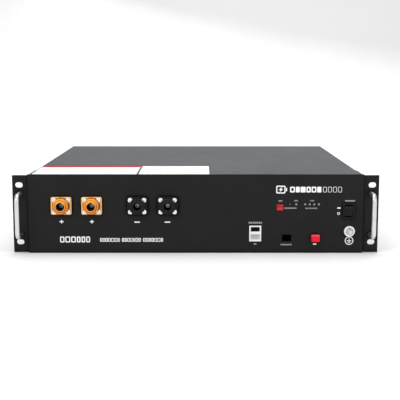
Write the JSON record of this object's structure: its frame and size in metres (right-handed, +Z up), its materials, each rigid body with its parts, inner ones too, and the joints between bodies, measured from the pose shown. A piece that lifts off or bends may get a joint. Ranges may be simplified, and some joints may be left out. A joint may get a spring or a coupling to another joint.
{
  "type": "rack-mount battery module",
  "caption": "Flat sheet-steel lithium battery box with rack ears, bar handles, power sockets, data ports, indicator lights and switches on its front.",
  "frame": {"origin": "centre of the four rack slots, in the plane of the ears' rear faces, which bear on the rack's rails", "axes": "+X to the right as seen from the front, +Y from the front panel back into the rack, +Z up"},
  "size_m": [0.4826, 0.436, 0.105],
  "materials": {
    "case_black": "matt black powder coat with a fine grain",
    "cover_black": "matt black powder coat with a fine grain",
    "handle_silver": "satin anodised bar",
    "screw_black": "black oxide",
    "screw_bright": "bright zinc plating",
    "socket_orange": "moulded, slightly glossy orange",
    "socket_black": "moulded, slightly glossy black",
    "contact_silver": "silver-plated brass",
    "gasket_rubber": "soft black rubber",
    "jack_shield": "tin-plated sheet",
    "jack_insert": "dark grey moulding",
    "plug_grey": "light grey moulding",
    "jack_gold": "gold-flashed wire",
    "jack_black": "black moulding",
    "dip_red": "red moulding",
    "dip_white": "white moulding",
    "lens_red": "clear red light pipe, unlit",
    "lens_clear": "milky light pipe, faintly green",
    "button_red": "glossy red",
    "switch_black": "black moulding",
    "ground_steel": "bright zinc plating",
    "label_white": "printed vinyl label",
    "board_green": "solder-masked board with components",
    "package_black": "moulded transistor packages",
    "heatsink_alu": "extruded",
    "bar_copper": "bare copper bar",
    "fuse_body": "pale fuse body",
    "holder_grey": "dark grey moulding",
    "cable_black": "rubber-covered cable with crimped lugs",
    "cell_blue": "blue film over an aluminium can",
    "pad_glassfibre": "glass-fibre sheet and foam pads",
    "plate_alu": "milled plate",
    "frame_steel": "galvanised sheet"
  },
  "bodies": {
    "case": {"alarm_light_pipe": "lens_red", "battery_cell_1": "cell_blue", "battery_cell_2": "cell_blue", "battery_cell_3": "cell_blue", "battery_cell_4": "cell_blue", "battery_cell_5": "cell_blue", "battery_cell_6": "cell_blue", "battery_cell_7": "cell_blue", "battery_cell_8": "cell_blue", "bms_board": "board_green", "bms_heatsink": "heatsink_alu", "bms_mosfets": "package_black", "cell_busbars": "bar_copper", "cell_pads": "pad_glassfibre", "cell_sense_board": "board_green", "chassis_tray": "case_black", "comm_board": "board_green", "console_jack": "jack_black", "cover_screws": "screw_black", "data_port_dust_plug": "plug_grey", "dip_switch_body": "dip_red", "ear_and_handle_screws": "screw_black", "ear_bracket_left": "case_black", "ear_bracket_right": "case_black", "front_panel": "case_black", "fuse_holder": "holder_grey", "ground_bolt": "ground_steel", "ground_washers": "ground_steel", "handle_left": "handle_silver", "handle_right": "handle_silver", "inner_nuts": "screw_bright", "inner_screws": "screw_bright", "jack_contacts": "jack_gold", "main_fuse": "fuse_body", "module_end_plates": "plate_alu", "module_hold_down": "frame_steel", "negative_socket_1": "socket_black", "negative_socket_2": "socket_black", "output_busbars": "bar_copper", "positive_socket_1": "socket_orange", "positive_socket_2": "socket_orange", "power_cables": "cable_black", "power_path_bolts": "screw_bright", "power_socket_contacts": "contact_silver", "power_socket_gaskets": "gasket_rubber", "power_socket_screws": "screw_bright", "power_switch_housing": "switch_black", "power_switch_terminals": "contact_silver", "rj45_insert": "jack_insert", "rj45_shield": "jack_shield", "run_and_charge_light_pipes": "lens_clear", "start_button_switch": "switch_black", "top_cover": "cover_black", "top_label_square": "label_white", "top_label_wide": "label_white"},
    "start_button": {"start_button": "button_red"},
    "power_switch_rocker": {"power_switch_rocker": "switch_black"},
    "address_slider_1": {"dip_slider_1": "dip_white"},
    "address_slider_2": {"dip_slider_2": "dip_white"},
    "address_slider_3": {"dip_slider_3": "dip_white"}
  },
  "joints": [
    {"name": "start_button_press", "type": "slide", "parent": "case", "child": "start_button", "axis": [0, 1, 0], "range_m": [0, 0.0015], "stiffness_N_per_m": 400},
    {"name": "power_switch_rock", "type": "hinge", "parent": "case", "child": "power_switch_rocker", "pos_m": [0.2018, -0.001, 0.0041], "axis": [1, 0, 0], "range_deg": [-24, 0]},
    {"name": "address_slider_1_set", "type": "slide", "parent": "case", "child": "address_slider_1", "axis": [0, 0, 1], "range_m": [0, 0.0016]},
    {"name": "address_slider_2_set", "type": "slide", "parent": "case", "child": "address_slider_2", "axis": [0, 0, 1], "range_m": [0, 0.0016]},
    {"name": "address_slider_3_set", "type": "slide", "parent": "case", "child": "address_slider_3", "axis": [0, 0, 1], "range_m": [0, 0.0016]}
  ]
}
